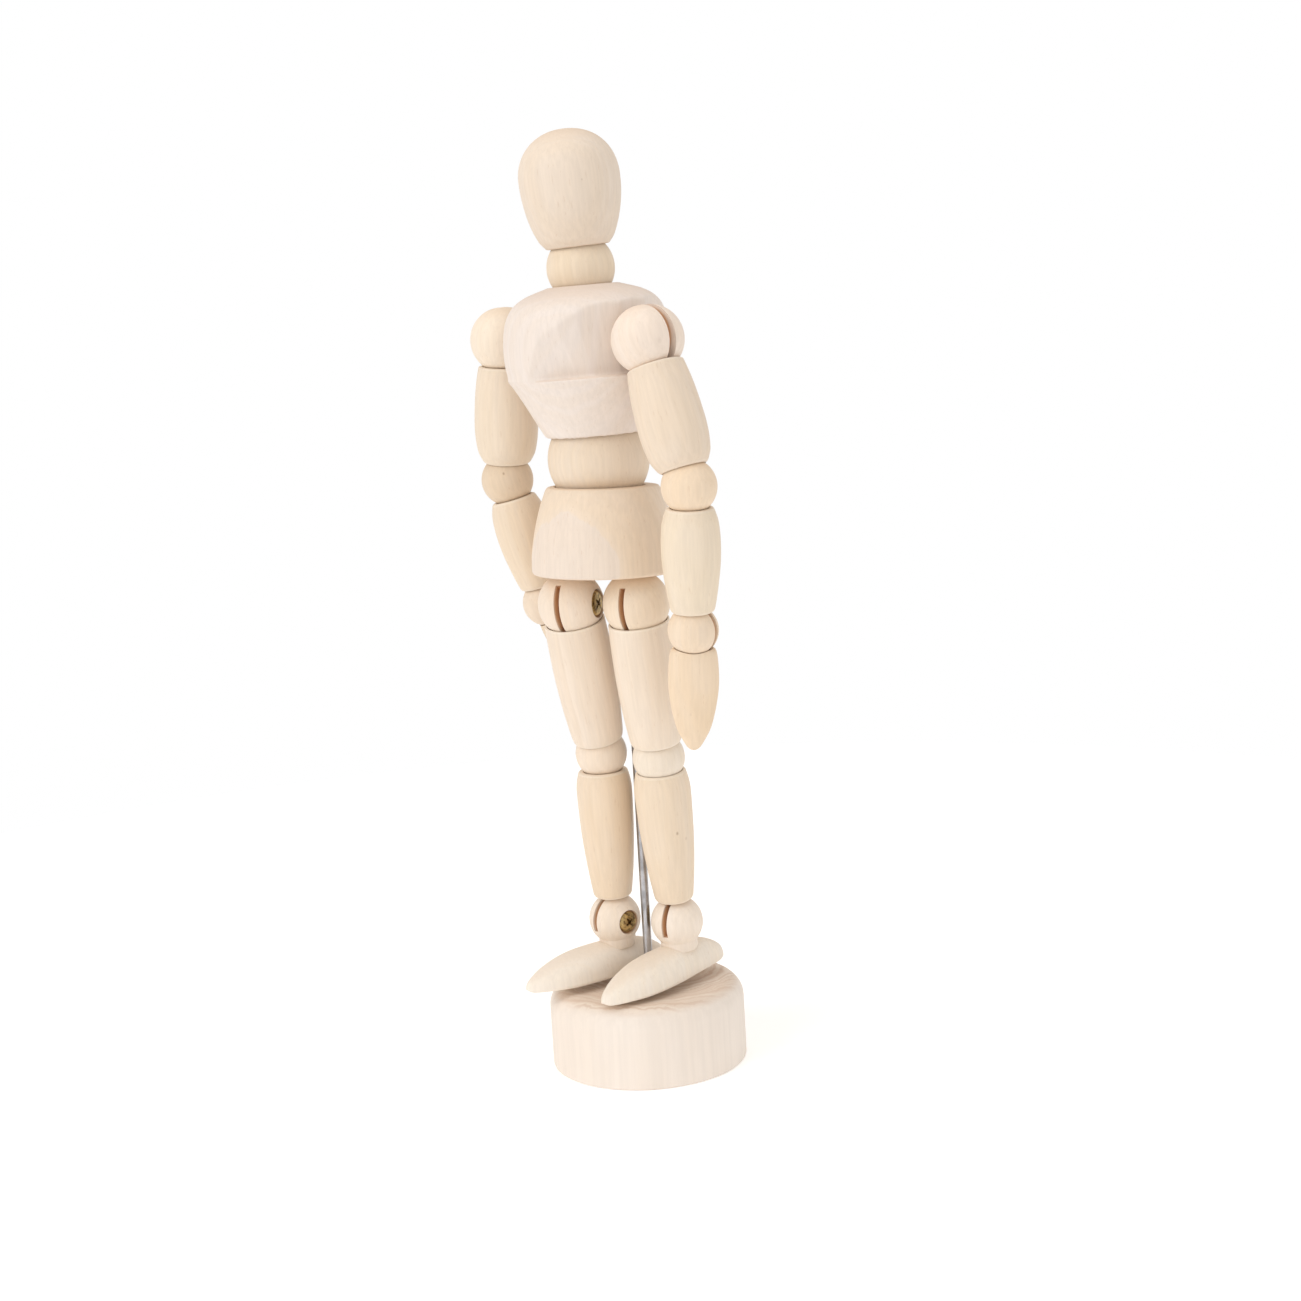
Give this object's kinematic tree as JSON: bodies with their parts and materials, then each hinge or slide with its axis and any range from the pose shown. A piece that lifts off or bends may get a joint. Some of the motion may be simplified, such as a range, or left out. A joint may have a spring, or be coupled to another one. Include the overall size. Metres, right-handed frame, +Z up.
{
  "type": "wooden mannequin figure",
  "caption": "Jointed wooden figure of a person with ball joints at neck, waist and limbs, held up by a steel rod in a round wooden base, posed by hand as a drawing aid.",
  "frame": {"origin": "centre of the round base's underside, on the surface the figure stands on", "axes": "+Z up along the support rod; the chest faces -Y; the figure's own left is +X"},
  "size_m": [0.0443, 0.0332, 0.1356],
  "materials": {
    "wood": "pale sanded basswood, unvarnished, fine grain",
    "steel": "plain steel, slightly dulled",
    "screw_brass": "antique brass plating, darkened"
  },
  "bodies": {
    "stand": {"base": "wood", "support_rod": "steel"},
    "pelvis": {"pelvis": "wood"},
    "waist_core": {"waist_spring": "steel"},
    "waist": {"waist_ball": "wood"},
    "chest": {"chest": "wood"},
    "neck_core": {"neck_spring": "steel"},
    "neck": {"neck_ball": "wood"},
    "head": {"head": "wood"},
    "right_shoulder": {"right_shoulder_ball": "wood", "right_shoulder_pin": "steel"},
    "right_upper_arm": {"right_upper_arm": "wood", "right_shoulder_link": "steel"},
    "right_elbow": {"right_elbow_ball": "wood", "right_elbow_pin": "steel"},
    "right_forearm": {"right_forearm": "wood", "right_elbow_link": "steel"},
    "right_wrist": {"right_wrist_ball": "wood", "right_wrist_pin": "steel"},
    "right_hand": {"right_hand": "wood", "right_wrist_link": "steel"},
    "right_hip": {"right_hip_ball": "wood", "right_hip_screw": "screw_brass"},
    "right_thigh": {"right_thigh": "wood", "right_hip_link": "steel", "right_knee_ball": "wood", "right_knee_pin": "steel"},
    "right_shin": {"right_shin": "wood", "right_knee_link": "steel", "right_ankle_link": "steel"},
    "right_ankle": {"right_ankle_ball": "wood", "right_ankle_screw": "screw_brass"},
    "right_foot": {"right_foot": "wood"},
    "left_shoulder": {"left_shoulder_ball": "wood", "left_shoulder_pin": "steel"},
    "left_upper_arm": {"left_upper_arm": "wood", "left_shoulder_link": "steel"},
    "left_elbow": {"left_elbow_ball": "wood", "left_elbow_pin": "steel"},
    "left_forearm": {"left_forearm": "wood", "left_elbow_link": "steel"},
    "left_wrist": {"left_wrist_ball": "wood", "left_wrist_pin": "steel"},
    "left_hand": {"left_hand": "wood", "left_wrist_link": "steel"},
    "left_hip": {"left_hip_ball": "wood", "left_hip_screw": "screw_brass"},
    "left_thigh": {"left_thigh": "wood", "left_hip_link": "steel", "left_knee_ball": "wood", "left_knee_pin": "steel"},
    "left_shin": {"left_shin": "wood", "left_knee_link": "steel", "left_ankle_link": "steel"},
    "left_ankle": {"left_ankle_ball": "wood", "left_ankle_screw": "screw_brass"},
    "left_foot": {"left_foot": "wood"}
  },
  "joints": [
    {"name": "figure_turn", "type": "hinge", "parent": "stand", "child": "pelvis", "pos_m": [0, 0, 0], "axis": [0, 0, 1], "continuous": true},
    {"name": "waist_lean", "type": "hinge", "parent": "pelvis", "child": "waist_core", "pos_m": [0.00215, -0.00605, 0.0899], "axis": [0, 0.9985, 0.0539], "range_deg": [-6, 11]},
    {"name": "waist_bend", "type": "hinge", "parent": "waist_core", "child": "waist", "pos_m": [0.00215, -0.00605, 0.0899], "axis": [1, 0.0005, -0.01], "range_deg": [-12, 12]},
    {"name": "waist_turn", "type": "hinge", "parent": "waist", "child": "chest", "pos_m": [0.00215, -0.00605, 0.0899], "axis": [0.01, -0.0539, 0.9985], "range_deg": [-60, 60]},
    {"name": "neck_lean", "type": "hinge", "parent": "chest", "child": "neck_core", "pos_m": [0.00235, -0.0075, 0.1163], "axis": [0, 0.9956, 0.0936], "range_deg": [-12, 12]},
    {"name": "neck_bend", "type": "hinge", "parent": "neck_core", "child": "neck", "pos_m": [0.00235, -0.0075, 0.1163], "axis": [1, 0, 0], "range_deg": [-12, 12]},
    {"name": "neck_turn", "type": "hinge", "parent": "neck", "child": "head", "pos_m": [0.00235, -0.0075, 0.1163], "axis": [0, -0.0936, 0.9956], "range_deg": [-90, 90]},
    {"name": "right_shoulder_swing", "type": "hinge", "parent": "chest", "child": "right_shoulder", "pos_m": [-0.01245, -0.0093, 0.1076], "axis": [1, 0.0005, -0.01], "range_deg": [-150, 60]},
    {"name": "right_shoulder_raise", "type": "hinge", "parent": "right_shoulder", "child": "right_upper_arm", "pos_m": [-0.01245, -0.0093, 0.1076], "axis": [0, 0.9985, 0.0538], "range_deg": [-2, 90]},
    {"name": "right_elbow_turn", "type": "hinge", "parent": "right_upper_arm", "child": "right_elbow", "pos_m": [-0.0152, -0.0082, 0.0872], "axis": [0.1334, -0.0534, 0.9896], "range_deg": [-24, 45]},
    {"name": "right_elbow_bend", "type": "hinge", "parent": "right_elbow", "child": "right_forearm", "pos_m": [-0.0152, -0.0082, 0.0872], "axis": [0.5272, -0.8417, -0.1165], "range_deg": [-70, 10]},
    {"name": "right_wrist_turn", "type": "hinge", "parent": "right_forearm", "child": "right_wrist", "pos_m": [-0.0129, -0.0042, 0.0687], "axis": [-0.1206, -0.2098, 0.9703], "range_deg": [-90, 90]},
    {"name": "right_wrist_bend", "type": "hinge", "parent": "right_wrist", "child": "right_hand", "pos_m": [-0.0129, -0.0042, 0.0687], "axis": [0.743, -0.6391, -0.1987], "range_deg": [-30, 30]},
    {"name": "right_hip_turn", "type": "hinge", "parent": "pelvis", "child": "right_hip", "pos_m": [-0.0022, -0.0091, 0.0695], "axis": [0.032, 0.01, 0.9994], "range_deg": [-2, 25]},
    {"name": "right_hip_swing", "type": "hinge", "parent": "right_hip", "child": "right_thigh", "pos_m": [-0.0022, -0.0091, 0.0695], "axis": [-0.9344, -0.3563, -0.0079], "range_deg": [-4, 2]},
    {"name": "right_knee_bend", "type": "hinge", "parent": "right_thigh", "child": "right_shin", "pos_m": [-0.00435, -0.00295, 0.0465], "axis": [0.9397, 0.3421, -0.0012], "range_deg": [-4, 2.5]},
    {"name": "right_ankle_bend", "type": "hinge", "parent": "right_shin", "child": "right_ankle", "pos_m": [-0.0048, -0.0018, 0.021], "axis": [-0.9944, 0.1036, 0.0222], "range_deg": [-2.5, 12]},
    {"name": "right_foot_turn", "type": "hinge", "parent": "right_ankle", "child": "right_foot", "pos_m": [-0.0048, -0.0018, 0.021], "axis": [-0.0133, -0.0685, 0.9976], "range_deg": [-23, 30]},
    {"name": "left_shoulder_swing", "type": "hinge", "parent": "chest", "child": "left_shoulder", "pos_m": [0.0164, -0.0095, 0.1062], "axis": [1, 0.0005, -0.01], "range_deg": [-150, 60]},
    {"name": "left_shoulder_raise", "type": "hinge", "parent": "left_shoulder", "child": "left_upper_arm", "pos_m": [0.0164, -0.0095, 0.1062], "axis": [0, -0.9988, -0.0497], "range_deg": [-2, 90]},
    {"name": "left_elbow_turn", "type": "hinge", "parent": "left_upper_arm", "child": "left_elbow", "pos_m": [0.0217, -0.0085, 0.0861], "axis": [-0.2547, -0.0481, 0.9658], "range_deg": [-45, 45]},
    {"name": "left_elbow_bend", "type": "hinge", "parent": "left_elbow", "child": "left_forearm", "pos_m": [0.0217, -0.0085, 0.0861], "axis": [0.0719, 0.9951, 0.0685], "range_deg": [-20, 11]},
    {"name": "left_wrist_turn", "type": "hinge", "parent": "left_forearm", "child": "left_wrist", "pos_m": [0.0196, -0.007, 0.0665], "axis": [0.1062, -0.0759, 0.9914], "range_deg": [-90, 90]},
    {"name": "left_wrist_bend", "type": "hinge", "parent": "left_wrist", "child": "left_hand", "pos_m": [0.0196, -0.007, 0.0665], "axis": [0.3051, -0.9505, -0.0584], "range_deg": [-30, 30]},
    {"name": "left_hip_turn", "type": "hinge", "parent": "pelvis", "child": "left_hip", "pos_m": [0.0075, -0.0056, 0.0695], "axis": [0.032, 0.01, 0.9994], "range_deg": [-25, 7]},
    {"name": "left_hip_swing", "type": "hinge", "parent": "left_hip", "child": "left_thigh", "pos_m": [0.0075, -0.0056, 0.0695], "axis": [-0.9504, -0.3108, 0.0094], "range_deg": [-1.5, 85]},
    {"name": "left_knee_bend", "type": "hinge", "parent": "left_thigh", "child": "left_shin", "pos_m": [0.00585, -0.00125, 0.0465], "axis": [0.9992, 0.0047, -0.0409], "range_deg": [-4, 3]},
    {"name": "left_ankle_bend", "type": "hinge", "parent": "left_shin", "child": "left_ankle", "pos_m": [0.0048, 0.00165, 0.0212], "axis": [-0.9699, -0.2434, 0.0124], "range_deg": [-2.5, 12]},
    {"name": "left_foot_turn", "type": "hinge", "parent": "left_ankle", "child": "left_foot", "pos_m": [0.0048, 0.00165, 0.0212], "axis": [-0.0012, -0.0697, 0.9976], "range_deg": [-13, 30]}
  ]
}
